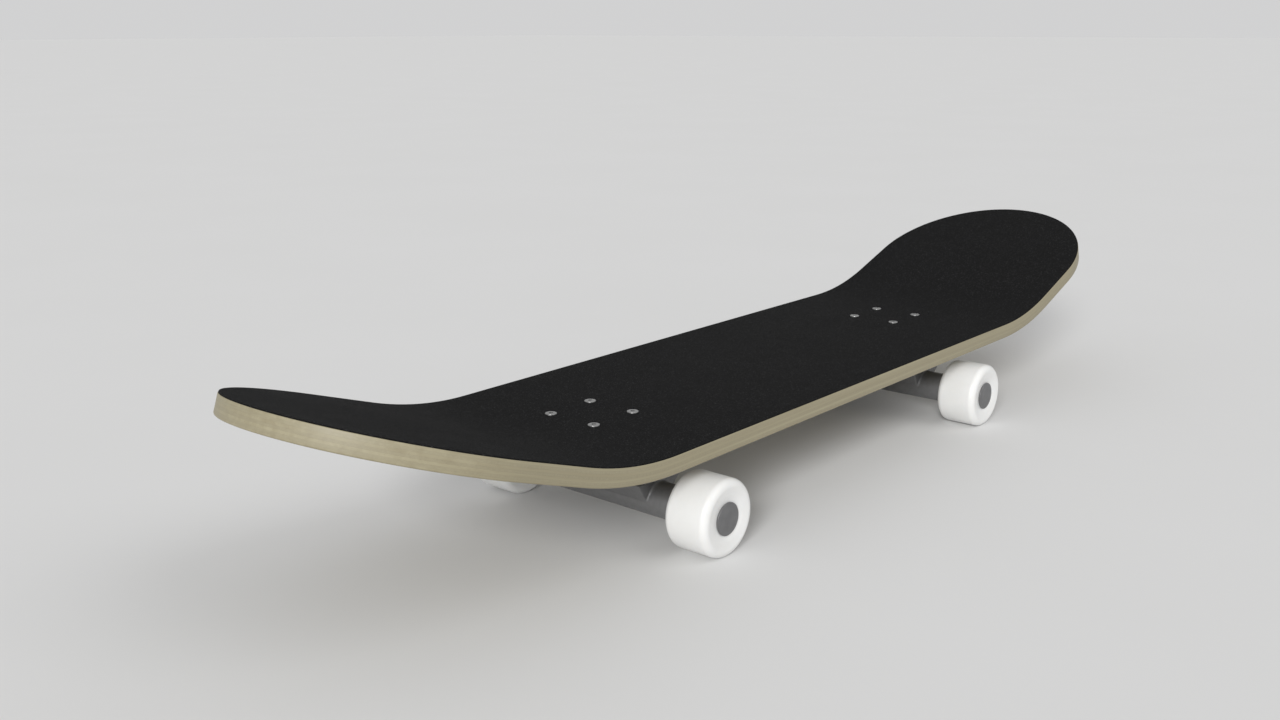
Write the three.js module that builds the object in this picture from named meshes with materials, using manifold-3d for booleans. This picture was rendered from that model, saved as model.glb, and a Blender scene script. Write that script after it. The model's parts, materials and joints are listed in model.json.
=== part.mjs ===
// A skateboard: a kicked wooden deck with grip tape, two trucks that steer on rubber bushings,
// and four wheels on ball bearings. Millimetres, +Z up, +X towards the nose, +Y to the rider's left.
// The origin is on the ground under the middle of the deck.

import * as THREE from 'three';
import { ConvexGeometry } from 'three/addons/geometries/ConvexGeometry.js';
import { mergeVertices } from 'three/addons/utils/BufferGeometryUtils.js';
import Module from 'manifold-3d';

const wasm = await Module();
wasm.setup();

// ---------------------------------------------------------------- driving dimensions

const GAP = 0.3;                          // clearance between pieces that touch

// Deck and grip tape
const DECK_BOTTOM = 69.85;                // height of the flat underside
const DECK_THICKNESS = 12.4;              // seven plies and their glue
const GRIP_THICKNESS = 0.8;
const GRIP_GAP = 0.25;
const DECK_TOP = DECK_BOTTOM + DECK_THICKNESS + GRIP_GAP + GRIP_THICKNESS;
const HALF_WIDTH = 103.25;
const FLAT_HALF = 241.1;                  // half length of the level middle
const KICK_RADIUS = 260;                  // bend of the nose and tail, on the top surface
const KICK_ANGLE = THREE.MathUtils.degToRad(19);
const RAIL_HALF = 379.3;                  // half length of the straight rails, along the top surface
const TIP_LENGTH = 118.6;                 // length of the half-ellipse that rounds each end
const TIP_FLAT = 3;                       // half width of the last straight cut at each tip
const KICK_STEPS = 6;
const TIP_STEPS = 11;
const BOTTOM_ROUND = 1.0;                 // eased edges of the wood
const TOP_ROUND = 0.3;

// Truck bolts: four through each baseplate
const BOLT_ALONG = 41.05;                 // spacing along the board
const BOLT_ACROSS = 41.275;               // spacing across the board
const TAIL_PATTERN_X = -212.16;           // centre of the tail bolts
const NOSE_PATTERN_X = 198.77;            // centre of the nose bolts
const BOLT_RADIUS = 2.4;
const BOLT_LENGTH = 29;
const BOLT_END_CHAMFER = 0.5;
const BOLT_HEAD_RADIUS = 4.25;
const BOLT_CONE_DEPTH = 2.1;
const BOLT_SIDE = 0.9;                    // straight side of the head over the cone
const BOLT_DOME = 0.25;
const BOLT_DOME_STEPS = 2;
const BOLT_SINK = 0.1;                    // how far the top of the cone sits below the grip
const SOCKET_RADIUS = 1.7;                // hexagon socket in the head
const SOCKET_DEPTH = 1.8;
const LOCKNUT_RADIUS = 5.5;               // across corners, halved
const LOCKNUT_HEX = 4.2;
const LOCKNUT_COLLAR = 1.4;
const LOCKNUT_COLLAR_RADIUS = 4.2;

// Baseplate. A truck is drawn around the centre of its bolts on the deck's underside:
// +X towards the middle of the board, +Z up.
const PLATE_OUTER_END = -32;
const PLATE_INNER_END = 44;
const PLATE_HALF_WIDTH = 28.5;
const PLATE_CORNER = 6;
const PLATE_THICKNESS = 7;
const PLATE_BEVEL = 1;
const PLATE_HOLE_RADIUS = 2.8;

// Hanger and axle
const AXLE = new THREE.Vector3(12.2, 0, -41.95);
const AXLE_RADIUS = 3.95;
const AXLE_HALF = 111.9;
const AXLE_CHAMFER = 0.6;
const BEAM_RADIUS = 12.6;
const BEAM_HALF = 76.6;
const BEAM_CHAMFER = 0.8;
const BODY_HALF = 51;                     // the cast body stands on the beam between its round ends
const BODY_FOOT = 12.3;                   // half its length at the axle's height
const BODY_TOP = 16;                      // height of the body's rim over the axle's centre line
const BODY_FLARE = 0.75;                  // how far its walls lean out for each unit of height
const BODY_END_FLARE = 0.15;
const BODY_WALL = 8;
const BODY_END_WALL = 5;
const YOKE_HALF = 26;                     // half width of the yoke plate where it leaves the beam
const YOKE_THICKNESS = 8.8;

// Kingpin, bushings and steering axis
const RING = new THREE.Vector3(36, 0, -33.5);
const KINGPIN_LEAN = THREE.MathUtils.degToRad(16);
const STEER_SLOPE = THREE.MathUtils.degToRad(27);
const RING_RADIUS = 15.5;
const RING_HALF = 4;
const RING_HOLE = 8;
const KINGPIN_RADIUS = 4.75;
const BUSHING_RADIUS = 12.3;
const BOARD_BUSHING = 13;
const ROAD_BUSHING = 9;
const ROAD_BUSHING_END_RADIUS = 9.6;
const BUSHING_ROUND = 1.5;
const WASHER_THICKNESS = 1.3;
const BOARD_WASHER_RADIUS = 12;
const ROAD_WASHER_RADIUS = 10.5;
const BOSS_RADIUS = 12.8;
const BOSS_DEPTH = 14;
const KINGPIN_HEAD_RADIUS = 7.5;
const KINGPIN_HEAD = 4;
const KINGPIN_HEAD_TOP = -32;             // along the kingpin from the ring's centre, down is positive
const KINGPIN_NUT_RADIUS = 8.2;
const KINGPIN_NUT = 6;
const KINGPIN_END = 2;                    // thread showing past the nut
const BUSHING_SEAT_RADIUS = 13.2;
const BUSHING_WELL_RADIUS = 15;           // room for the board side bushing in the hanger's body

// Pivot
const PIVOT = new THREE.Vector3(-8, 0, -11);
const PIN_RADIUS = 5.2;
const PIN_LENGTH = 12;
const CUP_RADIUS = 7.2;
const CUP_MOUTH = 5;                      // from the pin's ball centre to the cup's mouth
const CUP_BOTTOM = 6.5;
const HOUSING_RADIUS = 11;
const HOUSING_END = 9;
const ARM_RADIUS = 7;

// Wheels and bearings; distances named FACE are from the board's centre line
const WHEEL_RADIUS = 27.9;
const WHEEL_EDGE = 5.2;
const WHEEL_OUTER_FACE = 113.5;
const WHEEL_INNER_FACE = 77.9;
const DISH_OUTER = 111.4;                 // bottom of the shallow cone that each face sinks to
const DISH_INNER = 78.3;
const HUB_BORE = 9.3;
const BEARING_RADIUS = 11;
const BEARING_WIDTH = 7;
const INNER_BEARING_FACE = 78.9;
const OUTER_BEARING_FACE = 99.2;
const SPACER_RADIUS = 5.6;
const CAP_RADIUS = 11.8;
const CAP_INNER_FACE = 111.8;
const CAP_FACE = 113.2;
const CAP_ROUND = 0.7;
const CAP_NECK_RADIUS = 7.3;

// Roundness
const WHEEL_SIDES = 28;
const ROUND_SIDES = 16;
const SMALL_SIDES = 12;
const BOLT_SIDES = 8;
const EDGE_STEPS = 2;
const HEX = 6;

// ---------------------------------------------------------------- finishes

function finish(color, roughness, metalness = 0) {
  return new THREE.MeshStandardMaterial({ color, roughness, metalness });
}

const maple = finish(0x8e876e, 0.6);
const grit = finish(0x161616, 0.95);
const castAluminium = finish(0x8b8b8d, 0.45, 0.9);
const steel = finish(0xa6a6a6, 0.3, 1);
const darkSteel = finish(0x55555a, 0.35, 0.9);
const blackSteel = finish(0x2a2a2c, 0.4, 0.9);
const urethane = finish(0xe9e9e6, 0.4);
const bushingRubber = finish(0xb9b2a0, 0.55);
const cupPlastic = finish(0x2b2b2b, 0.6);

// ---------------------------------------------------------------- solids

// A closed geometry as a manifold solid, with its faces turned outwards.
function solid(geometry) {
  const bare = geometry.clone();
  bare.deleteAttribute('normal');
  bare.deleteAttribute('uv');
  const merged = mergeVertices(bare);
  const vertProperties = new Float32Array(merged.attributes.position.array);
  const triVerts = new Uint32Array(merged.index.array).filter((_, i, all) => {
    const start = i - (i % 3);
    const [a, b, c] = [all[start], all[start + 1], all[start + 2]];
    return a !== b && b !== c && c !== a;
  });
  if (signedVolume(vertProperties, triVerts) < 0) {
    triVerts.reverse();
  }
  return new wasm.Manifold(new wasm.Mesh({ numProp: 3, vertProperties, triVerts }));
}

function signedVolume(vertices, triangles) {
  const corner = (i) => new THREE.Vector3().fromArray(vertices, 3 * triangles[i]);
  let total = 0;
  for (let i = 0; i < triangles.length; i += 3) {
    total += corner(i).dot(corner(i + 1).cross(corner(i + 2)));
  }
  return total;
}

function geometryOf(manifold) {
  const mesh = manifold.getMesh();
  const geometry = new THREE.BufferGeometry();
  geometry.setAttribute('position', new THREE.BufferAttribute(new Float32Array(mesh.vertProperties), 3));
  geometry.setIndex(new THREE.BufferAttribute(new Uint32Array(mesh.triVerts), 1));
  geometry.computeVertexNormals();
  return geometry;
}

// A lathe turned from [radius, height] points; a profile off the axis closes on itself.
function lathe(profile, sides = ROUND_SIDES, start = 0) {
  const points = profile.map(([radius, height]) => new THREE.Vector2(radius, height));
  if (profile[0][0] > 0) {
    points.push(points[0].clone());
  }
  return new THREE.LatheGeometry(points, sides, start);
}

// Stands a lathe on a point, with its height running along a direction.
function along(geometry, origin, direction) {
  const turn = new THREE.Quaternion().setFromUnitVectors(new THREE.Vector3(0, 1, 0), direction);
  return geometry.clone().applyQuaternion(turn).translate(origin.x, origin.y, origin.z);
}

function rod(radius, from, to, sides = ROUND_SIDES) {
  return lathe([[0, from], [radius, from], [radius, to], [0, to]], sides);
}

function tube(inner, outer, from, to, chamfer = 0, sides = ROUND_SIDES) {
  if (chamfer === 0) {
    return lathe([[inner, from], [outer, from], [outer, to], [inner, to]], sides);
  }
  return lathe([
    [inner, from],
    [outer - chamfer, from],
    [outer, from + chamfer],
    [outer, to - chamfer],
    [outer - chamfer, to],
    [inner, to],
  ], sides);
}

// Points of a quarter circle about a centre, from one angle to another.
function arc(centreR, centreH, radius, fromAngle, toAngle, steps = EDGE_STEPS) {
  const points = [];
  for (let i = 0; i <= steps; i += 1) {
    const angle = fromAngle + ((toAngle - fromAngle) * i) / steps;
    points.push([centreR + radius * Math.cos(angle), centreH + radius * Math.sin(angle)]);
  }
  return points;
}

const UP = new THREE.Vector3(0, 0, 1);
const LEFT = new THREE.Vector3(0, 1, 0);
const KINGPIN_DOWN = new THREE.Vector3(Math.sin(KINGPIN_LEAN), 0, -Math.cos(KINGPIN_LEAN));
const STEER_OUT = new THREE.Vector3(-Math.cos(STEER_SLOPE), 0, Math.sin(STEER_SLOPE));

// ---------------------------------------------------------------- deck and grip tape

// Rows across the deck from tail to nose: where each lies along the top surface, its half width,
// and the way its edge faces.
function deckRows() {
  const half = [{ s: FLAT_HALF, width: HALF_WIDTH, out: [0, 1] }];
  const kickLength = KICK_RADIUS * KICK_ANGLE;
  for (let i = 1; i <= KICK_STEPS; i += 1) {
    half.push({ s: FLAT_HALF + (kickLength * i) / KICK_STEPS, width: HALF_WIDTH, out: [0, 1] });
  }
  const lastAngle = Math.acos(TIP_FLAT / HALF_WIDTH);
  for (let i = 0; i <= TIP_STEPS; i += 1) {
    const angle = (lastAngle * i) / TIP_STEPS;
    const out = new THREE.Vector2(Math.sin(angle) / TIP_LENGTH, Math.cos(angle) / HALF_WIDTH).normalize();
    half.push({
      s: RAIL_HALF + TIP_LENGTH * Math.sin(angle),
      width: HALF_WIDTH * Math.cos(angle),
      out: [out.x, out.y],
    });
  }
  const tail = half.map((row) => ({ s: -row.s, width: row.width, out: [-row.out[0], row.out[1]] }));
  return [...tail.reverse(), ...half];
}

// Bends a point of the flat board up at the kicks; depth is below the top surface.
function bend(s, depth) {
  const side = Math.sign(s);
  const past = Math.abs(s) - FLAT_HALF;
  if (past <= 0) {
    return [s, DECK_TOP - depth];
  }
  const angle = Math.min(past / KICK_RADIUS, KICK_ANGLE);
  const straight = past - angle * KICK_RADIUS;
  const reach = FLAT_HALF + (KICK_RADIUS + depth) * Math.sin(angle) + straight * Math.cos(angle);
  const rise = KICK_RADIUS - (KICK_RADIUS + depth) * Math.cos(angle) + straight * Math.sin(angle);
  return [side * reach, DECK_TOP + rise];
}

// A sheet with the deck's outline; levels are [depth below the top surface, inset of the edge].
function deckSheet(levels) {
  const rows = deckRows();
  const geometry = new THREE.BoxGeometry(1, 1, 1, rows.length - 1, 1, levels.length - 1);
  const position = geometry.attributes.position;
  for (let i = 0; i < position.count; i += 1) {
    const row = rows[Math.round((position.getX(i) + 0.5) * (rows.length - 1))];
    const [depth, inset] = levels[Math.round((position.getZ(i) + 0.5) * (levels.length - 1))];
    const [x, z] = bend(row.s - inset * row.out[0], depth);
    const y = Math.sign(position.getY(i)) * (row.width - inset * row.out[1]);
    position.setXYZ(i, x, y, z);
  }
  return solid(geometry);
}

function boltPlaces() {
  const places = [];
  for (const x of [BOLT_ALONG / 2, -BOLT_ALONG / 2]) {
    for (const y of [BOLT_ACROSS / 2, -BOLT_ACROSS / 2]) {
      places.push([x, y]);
    }
  }
  return places;
}

const RIM = DECK_TOP - BOLT_SINK;

// The countersunk hole that a truck bolt drops into.
function boltHole(x, y) {
  const wide = BOLT_HEAD_RADIUS + GAP;
  const narrow = BOLT_RADIUS + GAP;
  const profile = [
    [0, DECK_THICKNESS],
    [wide, DECK_THICKNESS],
    [wide, 0],
    [narrow, -BOLT_CONE_DEPTH],
    [narrow, -2 * DECK_THICKNESS],
    [0, -2 * DECK_THICKNESS],
  ];
  return solid(along(lathe(profile, BOLT_SIDES), new THREE.Vector3(x, y, RIM), UP));
}

function drilled(sheet) {
  let result = sheet;
  for (const patternX of [TAIL_PATTERN_X, NOSE_PATTERN_X]) {
    for (const [x, y] of boltPlaces()) {
      result = result.subtract(boltHole(patternX + x, y));
    }
  }
  return geometryOf(result);
}

function deck() {
  const bottom = DECK_TOP - DECK_BOTTOM;
  const top = bottom - DECK_THICKNESS;
  return drilled(deckSheet([
    [bottom, BOTTOM_ROUND],
    [bottom - BOTTOM_ROUND, 0],
    [top + TOP_ROUND, 0],
    [top, TOP_ROUND],
  ]));
}

function gripTape() {
  return drilled(deckSheet([[GRIP_THICKNESS, TOP_ROUND], [0, TOP_ROUND]]));
}

// ---------------------------------------------------------------- truck bolts

// Height 0 is the top of the head's cone.
function deckBolt() {
  const top = BOLT_SIDE + BOLT_DOME;
  const dome = [[0, top]];
  for (let i = 1; i <= BOLT_DOME_STEPS; i += 1) {
    const angle = (Math.PI / 2) * (i / BOLT_DOME_STEPS);
    dome.push([BOLT_HEAD_RADIUS * Math.sin(angle), BOLT_SIDE + BOLT_DOME * Math.cos(angle)]);
  }
  const body = solid(lathe([
    ...dome,
    [BOLT_HEAD_RADIUS, 0],
    [BOLT_RADIUS, -BOLT_CONE_DEPTH],
    [BOLT_RADIUS, -BOLT_LENGTH + BOLT_END_CHAMFER],
    [BOLT_RADIUS - BOLT_END_CHAMFER, -BOLT_LENGTH],
    [0, -BOLT_LENGTH],
  ], BOLT_SIDES));
  const socket = solid(rod(SOCKET_RADIUS, top - SOCKET_DEPTH, top + 1, HEX));
  return geometryOf(body.subtract(socket)).rotateX(Math.PI / 2);
}

// Height 0 is the face against the baseplate, and the nut hangs below it.
function lockNut() {
  const hexagon = solid(rod(LOCKNUT_RADIUS, -LOCKNUT_HEX, 0, HEX));
  const collarEnd = -LOCKNUT_HEX - LOCKNUT_COLLAR;
  const collar = solid(rod(LOCKNUT_COLLAR_RADIUS, collarEnd, -LOCKNUT_HEX / 2, BOLT_SIDES));
  const bore = solid(rod(BOLT_RADIUS + GAP, -2 * LOCKNUT_HEX, 1, BOLT_SIDES));
  return geometryOf(hexagon.add(collar).subtract(bore)).rotateX(Math.PI / 2);
}

// ---------------------------------------------------------------- baseplate

function roundedPlate() {
  const [x0, x1] = [PLATE_OUTER_END + PLATE_BEVEL, PLATE_INNER_END - PLATE_BEVEL];
  const y = PLATE_HALF_WIDTH - PLATE_BEVEL;
  const r = PLATE_CORNER;
  const quarter = Math.PI / 2;
  const outline = new THREE.Shape();
  outline.absarc(x1 - r, y - r, r, 0, quarter);
  outline.absarc(x0 + r, y - r, r, quarter, 2 * quarter);
  outline.absarc(x0 + r, -y + r, r, 2 * quarter, 3 * quarter);
  outline.absarc(x1 - r, -y + r, r, 3 * quarter, 4 * quarter);
  const plate = new THREE.ExtrudeGeometry(outline, {
    depth: PLATE_THICKNESS - 2 * PLATE_BEVEL,
    bevelThickness: PLATE_BEVEL,
    bevelSize: PLATE_BEVEL,
    bevelSegments: 1,
    curveSegments: EDGE_STEPS,
  });
  return plate.translate(0, 0, -GAP - PLATE_THICKNESS + PLATE_BEVEL);
}

// Everything above the plate's top face, which the deck rests on.
function aboveThePlate() {
  const size = 4 * PLATE_INNER_END;
  return solid(new THREE.BoxGeometry(size, size, size).translate(0, 0, size / 2 - GAP));
}

function baseplate() {
  const bossMouth = BOARD_STACK.bossMouth;
  const boss = rod(BOSS_RADIUS, bossMouth - BOSS_DEPTH, bossMouth);
  const housing = rod(HOUSING_RADIUS, -CUP_MOUTH, HOUSING_END);
  const bore = rod(KINGPIN_RADIUS + GAP, KINGPIN_HEAD_TOP, 0);
  const headFloor = KINGPIN_HEAD_TOP + KINGPIN_HEAD + GAP;
  const headPocket = rod(KINGPIN_HEAD_RADIUS + GAP, 2 * KINGPIN_HEAD_TOP, headFloor, HEX);
  const cupPocket = rod(CUP_RADIUS + GAP, -2 * CUP_MOUTH, CUP_BOTTOM + GAP);
  let body = solid(roundedPlate())
    .add(solid(along(boss, RING, KINGPIN_DOWN)))
    .add(solid(along(housing, PIVOT, STEER_OUT)))
    .subtract(aboveThePlate())
    .subtract(solid(along(bore, RING, KINGPIN_DOWN)))
    .subtract(solid(along(headPocket, RING, KINGPIN_DOWN)))
    .subtract(solid(along(cupPocket, PIVOT, STEER_OUT)));
  for (const [x, y] of boltPlaces()) {
    const hole = rod(PLATE_HOLE_RADIUS, -2 * PLATE_THICKNESS, 1, BOLT_SIDES);
    body = body.subtract(solid(along(hole, new THREE.Vector3(x, y, 0), UP)));
  }
  return geometryOf(body);
}

function pivotCup() {
  const body = solid(rod(CUP_RADIUS, -CUP_MOUTH, CUP_BOTTOM));
  const socket = solid(pinShape(PIN_RADIUS + GAP, PIN_LENGTH));
  return geometryOf(body.subtract(socket));
}

// A rod with a ball end; height 0 is the ball's centre.
function pinShape(radius, length) {
  const ball = arc(0, 0, radius, 0, Math.PI / 2);
  ball[ball.length - 1][0] = 0;
  return lathe([[0, -length], [radius, -length], ...ball]);
}

// ---------------------------------------------------------------- kingpin stack

// Heights along the kingpin from the ring's centre, positive towards the road.
const BOARD_STACK = {};
BOARD_STACK.bushingEnd = -RING_HALF - GAP;
BOARD_STACK.bushingStart = BOARD_STACK.bushingEnd - BOARD_BUSHING;
BOARD_STACK.washerEnd = BOARD_STACK.bushingStart - GAP;
BOARD_STACK.washerStart = BOARD_STACK.washerEnd - WASHER_THICKNESS;
BOARD_STACK.bossMouth = BOARD_STACK.washerStart - GAP;

const ROAD_STACK = {};
ROAD_STACK.bushingStart = RING_HALF + GAP;
ROAD_STACK.bushingEnd = ROAD_STACK.bushingStart + ROAD_BUSHING;
ROAD_STACK.washerStart = ROAD_STACK.bushingEnd + GAP;
ROAD_STACK.washerEnd = ROAD_STACK.washerStart + WASHER_THICKNESS;
ROAD_STACK.nutStart = ROAD_STACK.washerEnd + GAP;
ROAD_STACK.nutEnd = ROAD_STACK.nutStart + KINGPIN_NUT;

function kingpin() {
  const head = solid(rod(KINGPIN_HEAD_RADIUS, KINGPIN_HEAD_TOP, KINGPIN_HEAD_TOP + KINGPIN_HEAD, HEX));
  const shaft = solid(rod(KINGPIN_RADIUS, KINGPIN_HEAD_TOP + 1, ROAD_STACK.nutEnd + KINGPIN_END));
  return geometryOf(head.add(shaft));
}

function kingpinNut() {
  const hexagon = solid(rod(KINGPIN_NUT_RADIUS, ROAD_STACK.nutStart, ROAD_STACK.nutEnd, HEX));
  return geometryOf(hexagon.subtract(solid(rod(KINGPIN_RADIUS + GAP, 0, 2 * ROAD_STACK.nutEnd))));
}

function boardBushing() {
  const { bushingStart, bushingEnd } = BOARD_STACK;
  return tube(KINGPIN_RADIUS + GAP, BUSHING_RADIUS, bushingStart, bushingEnd, BUSHING_ROUND);
}

function roadBushing() {
  const { bushingStart, bushingEnd } = ROAD_STACK;
  return lathe([
    [KINGPIN_RADIUS + GAP, bushingStart],
    [BUSHING_RADIUS - BUSHING_ROUND, bushingStart],
    [BUSHING_RADIUS, bushingStart + BUSHING_ROUND],
    [ROAD_BUSHING_END_RADIUS, bushingEnd],
    [KINGPIN_RADIUS + GAP, bushingEnd],
  ]);
}

function boardWasher() {
  return tube(KINGPIN_RADIUS + GAP, BOARD_WASHER_RADIUS, BOARD_STACK.washerStart, BOARD_STACK.washerEnd);
}

function roadWasher() {
  return tube(KINGPIN_RADIUS + GAP, ROAD_WASHER_RADIUS, ROAD_STACK.washerStart, ROAD_STACK.washerEnd);
}

// ---------------------------------------------------------------- hanger and axle

const YOKE_SPAN = Math.hypot(RING.x - AXLE.x, RING.z - AXLE.z);
const YOKE_SLOPE = Math.atan2(RING.z - AXLE.z, RING.x - AXLE.x);

// The flat web from the beam to the bushing ring, drawn level with the axle at the origin.
function yokePlate() {
  const outline = new THREE.Shape([
    new THREE.Vector2(0, -YOKE_HALF),
    new THREE.Vector2(BEAM_RADIUS, -YOKE_HALF),
    new THREE.Vector2(YOKE_SPAN, -RING_RADIUS + 1),
    new THREE.Vector2(YOKE_SPAN, RING_RADIUS - 1),
    new THREE.Vector2(BEAM_RADIUS, YOKE_HALF),
    new THREE.Vector2(0, YOKE_HALF),
  ]);
  const plate = new THREE.ExtrudeGeometry(outline, { depth: YOKE_THICKNESS, bevelEnabled: false });
  return plate.translate(0, 0, -YOKE_THICKNESS / 2).rotateY(-YOKE_SLOPE);
}

// A block that stands at the axle's height, with walls that lean outwards.
function flaredBlock(wall, endWall, height) {
  const corners = [];
  for (const z of [0, height]) {
    const x = BODY_FOOT - wall + BODY_FLARE * z;
    const y = BODY_HALF - endWall + BODY_END_FLARE * z;
    for (const [sideX, sideY] of [[-x, -y], [-x, y], [x, -y], [x, y]]) {
      corners.push(new THREE.Vector3(AXLE.x + sideX, sideY, AXLE.z + z));
    }
  }
  return solid(new ConvexGeometry(corners));
}

function hanger() {
  const beamProfile = [
    [0, -BEAM_HALF],
    [BEAM_RADIUS - BEAM_CHAMFER, -BEAM_HALF],
    [BEAM_RADIUS, -BEAM_HALF + BEAM_CHAMFER],
    [BEAM_RADIUS, BEAM_HALF - BEAM_CHAMFER],
    [BEAM_RADIUS - BEAM_CHAMFER, BEAM_HALF],
    [0, BEAM_HALF],
  ];
  const elbow = PIVOT.clone().addScaledVector(STEER_OUT, -PIN_LENGTH);
  const armFoot = AXLE.clone().sub(elbow);
  const arm = rod(ARM_RADIUS, 0, armFoot.length());
  const pin = pinShape(PIN_RADIUS, PIN_LENGTH);
  const ball = new THREE.SphereGeometry(ARM_RADIUS, SMALL_SIDES, SMALL_SIDES / 2);
  const well = rod(BUSHING_WELL_RADIUS, -2 * BOARD_BUSHING, -RING_HALF);
  const seat = rod(BUSHING_SEAT_RADIUS, RING_HALF, 2 * BOARD_BUSHING);
  const ring = rod(RING_RADIUS, -RING_HALF, RING_HALF);
  const hole = rod(RING_HOLE, -BOARD_BUSHING, BOARD_BUSHING);
  return geometryOf(flaredBlock(0, 0, BODY_TOP)
    .subtract(flaredBlock(BODY_WALL, BODY_END_WALL, 2 * BODY_TOP))
    .add(solid(along(lathe(beamProfile), AXLE, LEFT)))
    .add(solid(yokePlate().translate(AXLE.x, AXLE.y, AXLE.z)))
    .add(solid(along(ring, RING, KINGPIN_DOWN)))
    .add(solid(along(arm, elbow, armFoot.clone().normalize())))
    .add(solid(ball.translate(elbow.x, elbow.y, elbow.z)))
    .add(solid(along(pin, PIVOT, STEER_OUT)))
    .subtract(solid(along(well, RING, KINGPIN_DOWN)))
    .subtract(solid(along(seat, RING, KINGPIN_DOWN)))
    .subtract(solid(along(hole, RING, KINGPIN_DOWN)))
    .subtract(solid(along(rod(AXLE_RADIUS + GAP, -AXLE_HALF, AXLE_HALF), AXLE, LEFT))));
}

function axle() {
  return lathe([
    [0, -AXLE_HALF],
    [AXLE_RADIUS - AXLE_CHAMFER, -AXLE_HALF],
    [AXLE_RADIUS, -AXLE_HALF + AXLE_CHAMFER],
    [AXLE_RADIUS, AXLE_HALF - AXLE_CHAMFER],
    [AXLE_RADIUS - AXLE_CHAMFER, AXLE_HALF],
    [0, AXLE_HALF],
  ], SMALL_SIDES);
}

// ---------------------------------------------------------------- wheels, drawn on the left side

function wheel() {
  const seat = BEARING_RADIUS + GAP;
  const edgeCentre = WHEEL_RADIUS - WHEEL_EDGE;
  const quarter = Math.PI / 2;
  const profile = [
    [seat, DISH_INNER],
    ...arc(edgeCentre, WHEEL_INNER_FACE + WHEEL_EDGE, WHEEL_EDGE, -quarter, 0),
    ...arc(edgeCentre, WHEEL_OUTER_FACE - WHEEL_EDGE, WHEEL_EDGE, 0, quarter),
    [seat, DISH_OUTER],
    [seat, OUTER_BEARING_FACE - GAP],
    [HUB_BORE, OUTER_BEARING_FACE - GAP],
    [HUB_BORE, INNER_BEARING_FACE + BEARING_WIDTH + GAP],
    [seat, INNER_BEARING_FACE + BEARING_WIDTH + GAP],
  ];
  // A flat of the tread faces straight down, at the wheel's true radius.
  const halfSide = Math.PI / WHEEL_SIDES;
  const overflat = 1 / Math.cos(halfSide);
  return lathe(profile, WHEEL_SIDES, halfSide).scale(overflat, 1, overflat);
}

function bearing(face) {
  return tube(AXLE_RADIUS + GAP, BEARING_RADIUS, face, face + BEARING_WIDTH);
}

function bearingSpacer() {
  const from = INNER_BEARING_FACE + BEARING_WIDTH + GAP;
  return tube(AXLE_RADIUS + GAP, SPACER_RADIUS, from, OUTER_BEARING_FACE - GAP, 0, SMALL_SIDES);
}

// A nut with a blind thread and a round cap that covers the bearing.
function axleCapNut() {
  const neckStart = OUTER_BEARING_FACE + BEARING_WIDTH + GAP;
  const bore = AXLE_RADIUS + GAP;
  return lathe([
    [0, AXLE_HALF + GAP],
    [bore, AXLE_HALF + GAP],
    [bore, neckStart],
    [CAP_NECK_RADIUS, neckStart],
    [CAP_NECK_RADIUS, CAP_INNER_FACE],
    [CAP_RADIUS, CAP_INNER_FACE],
    [CAP_RADIUS, CAP_FACE - CAP_ROUND],
    [CAP_RADIUS - CAP_ROUND, CAP_FACE],
    [0, CAP_FACE],
  ]);
}

// ---------------------------------------------------------------- assembly

function piece(name, geometry, material) {
  const manifold = solid(geometry);
  const mesh = new THREE.Mesh(geometryOf(manifold), material);
  mesh.name = name;
  return mesh;
}

// A group whose Y axis runs along a direction from a point of the truck.
function axisGroup(origin, direction) {
  const group = new THREE.Group();
  group.position.copy(origin);
  group.quaternion.setFromUnitVectors(new THREE.Vector3(0, 1, 0), direction);
  return group;
}

function fasteners(end) {
  const group = new THREE.Group();
  boltPlaces().forEach(([x, y], index) => {
    const bolt = piece(`${end}_deck_bolt_${index + 1}`, deckBolt(), steel);
    bolt.position.set(x, y, RIM - DECK_BOTTOM);
    const nut = piece(`${end}_lock_nut_${index + 1}`, lockNut(), steel);
    nut.position.set(x, y, -2 * GAP - PLATE_THICKNESS);
    group.add(bolt, nut);
  });
  return group;
}

function kingpinStack(end) {
  const group = axisGroup(RING, KINGPIN_DOWN);
  group.add(
    piece(`${end}_kingpin`, kingpin(), darkSteel),
    piece(`${end}_kingpin_nut`, kingpinNut(), steel),
    piece(`${end}_board_side_bushing`, boardBushing(), bushingRubber),
    piece(`${end}_road_side_bushing`, roadBushing(), bushingRubber),
    piece(`${end}_board_side_washer`, boardWasher(), steel),
    piece(`${end}_road_side_washer`, roadWasher(), steel),
  );
  return group;
}

// One wheel with its bearings, spacer and cap nut. The turn puts it on the left or the right.
function wheelSet(name, turn) {
  const group = new THREE.Group();
  group.position.copy(AXLE);
  group.rotation.z = turn;
  group.add(
    piece(`${name}_wheel`, wheel(), urethane),
    piece(`${name}_inner_bearing`, bearing(INNER_BEARING_FACE), blackSteel),
    piece(`${name}_outer_bearing`, bearing(OUTER_BEARING_FACE), blackSteel),
    piece(`${name}_bearing_spacer`, bearingSpacer(), steel),
    piece(`${name}_axle_cap_nut`, axleCapNut(), darkSteel),
  );
  return group;
}

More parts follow.
